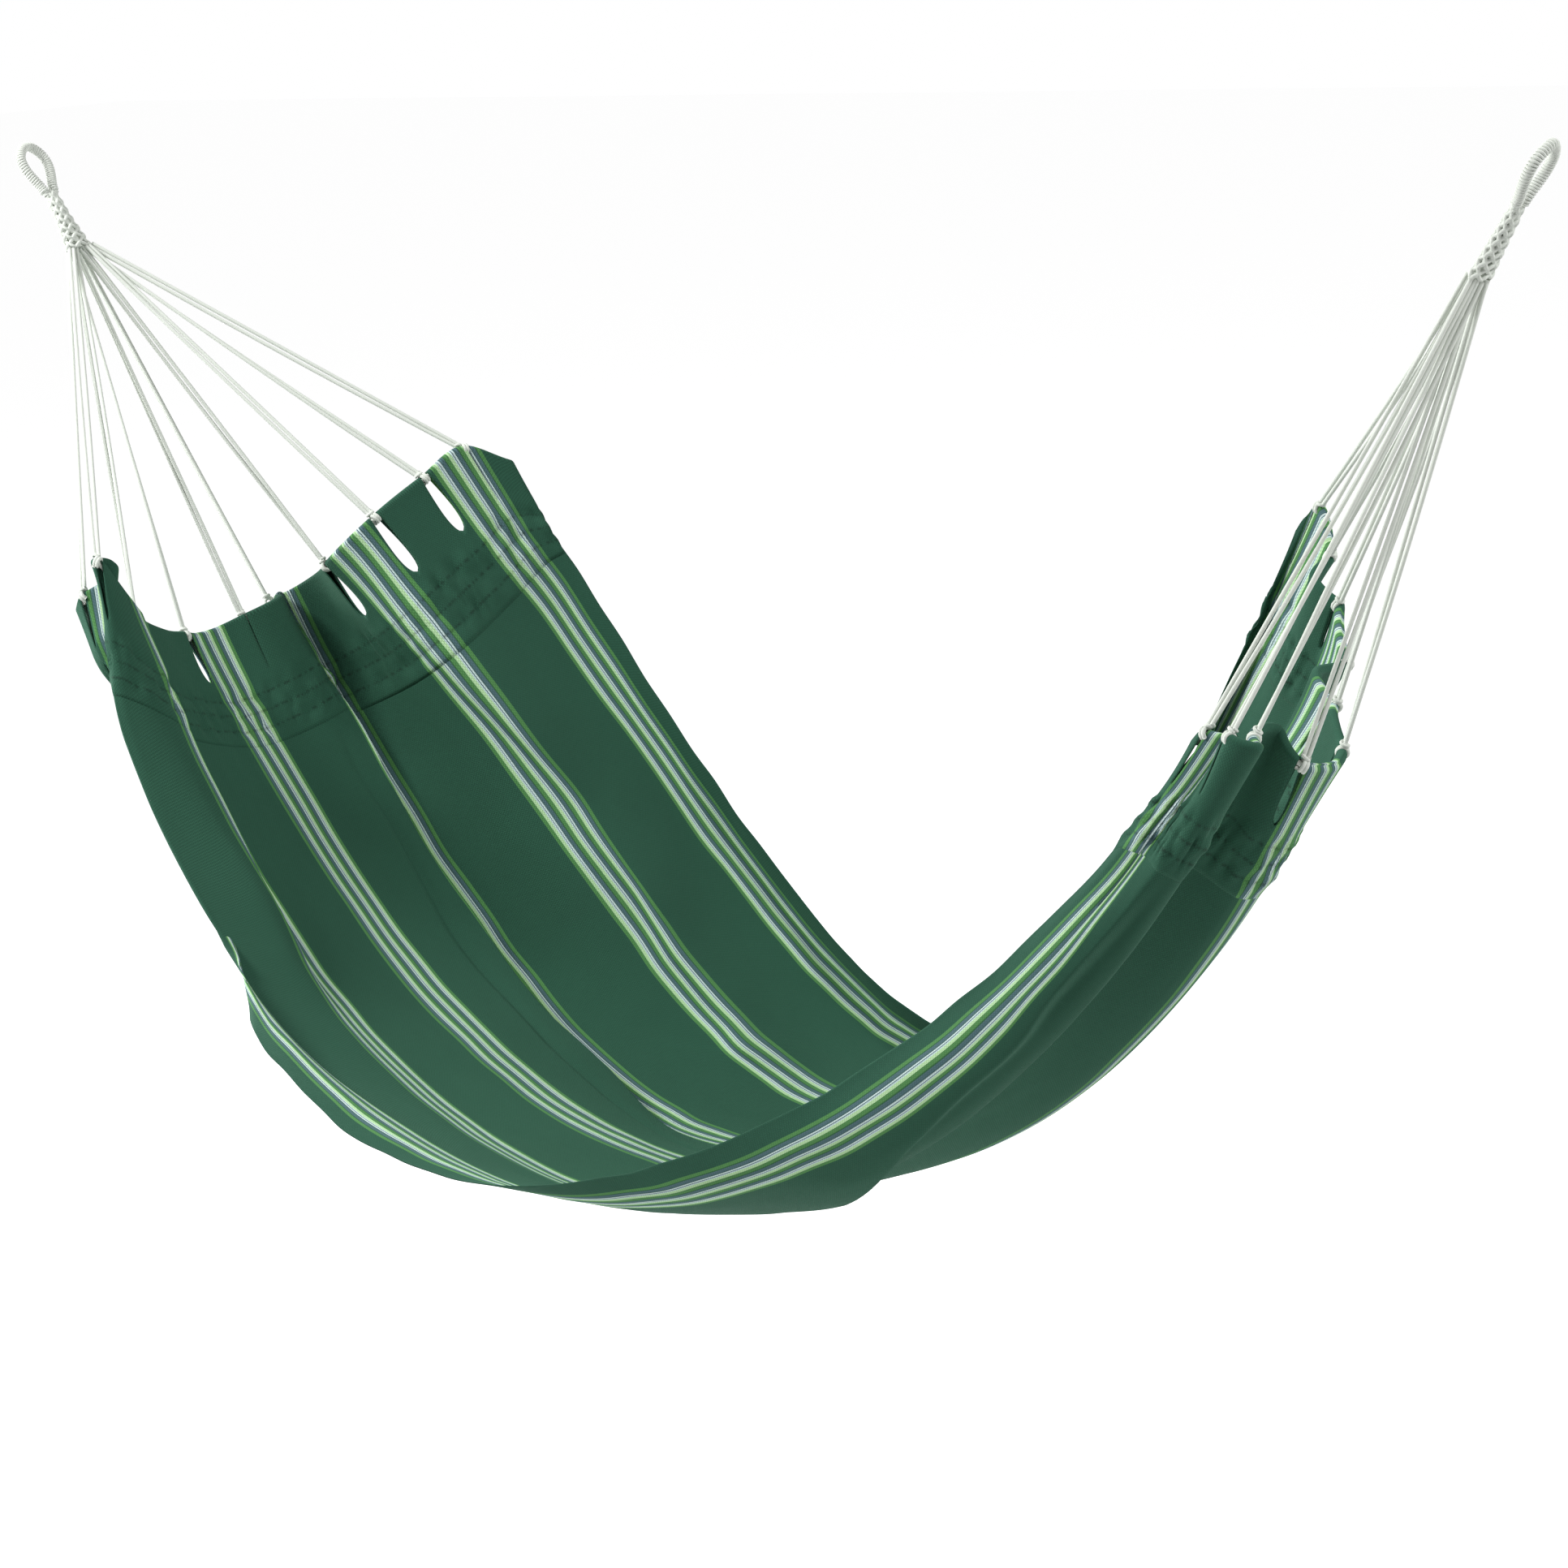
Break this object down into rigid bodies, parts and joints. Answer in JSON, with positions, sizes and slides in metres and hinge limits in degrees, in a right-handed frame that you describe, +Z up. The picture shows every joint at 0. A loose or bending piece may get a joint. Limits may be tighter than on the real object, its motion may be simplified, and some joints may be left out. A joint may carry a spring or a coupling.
{
  "type": "hammock",
  "caption": "Striped woven-cloth hammock hung from two whipped rope eyes by a fan of suspension cords tied through slotted, hemmed ends.",
  "frame": {"origin": "the point inside the left eye's top where it bears on its hook", "axes": "+X towards the right eye's hook point, +Z up, -Y towards the near edge of the cloth"},
  "size_m": [2.1094, 0.8957, 1.2025],
  "materials": {
    "cotton_cloth": "matte",
    "cotton_cord": "matte",
    "cord_whipping": "matte"
  },
  "bodies": {
    "eyes": {"left_eye_core": "cotton_cord", "left_eye_whipping": "cord_whipping", "right_eye_core": "cotton_cord", "right_eye_whipping": "cord_whipping"},
    "bed": {"bed_sheet": "cotton_cloth", "left_end_hem": "cotton_cloth", "left_end_rope": "cotton_cord", "left_neck": "cotton_cord", "left_line_01": "cotton_cord", "left_knot_01": "cotton_cord", "left_line_02": "cotton_cord", "left_knot_02": "cotton_cord", "left_line_03": "cotton_cord", "left_knot_03": "cotton_cord", "left_line_04": "cotton_cord", "left_knot_04": "cotton_cord", "left_line_05": "cotton_cord", "left_knot_05": "cotton_cord", "left_line_06": "cotton_cord", "left_knot_06": "cotton_cord", "left_line_07": "cotton_cord", "left_knot_07": "cotton_cord", "left_line_08": "cotton_cord", "left_knot_08": "cotton_cord", "left_line_09": "cotton_cord", "left_knot_09": "cotton_cord", "left_line_10": "cotton_cord", "left_knot_10": "cotton_cord", "right_end_hem": "cotton_cloth", "right_end_rope": "cotton_cord", "right_neck": "cotton_cord", "right_line_01": "cotton_cord", "right_knot_01": "cotton_cord", "right_line_02": "cotton_cord", "right_knot_02": "cotton_cord", "right_line_03": "cotton_cord", "right_knot_03": "cotton_cord", "right_line_04": "cotton_cord", "right_knot_04": "cotton_cord", "right_line_05": "cotton_cord", "right_knot_05": "cotton_cord", "right_line_06": "cotton_cord", "right_knot_06": "cotton_cord", "right_line_07": "cotton_cord", "right_knot_07": "cotton_cord", "right_line_08": "cotton_cord", "right_knot_08": "cotton_cord", "right_line_09": "cotton_cord", "right_knot_09": "cotton_cord", "right_line_10": "cotton_cord", "right_knot_10": "cotton_cord"}
  },
  "joints": [
    {"name": "bed_swing", "type": "hinge", "parent": "eyes", "child": "bed", "pos_m": [0.0404, 0, -0.0661], "axis": [1, 0, 0], "range_deg": [-35, 35]}
  ]
}
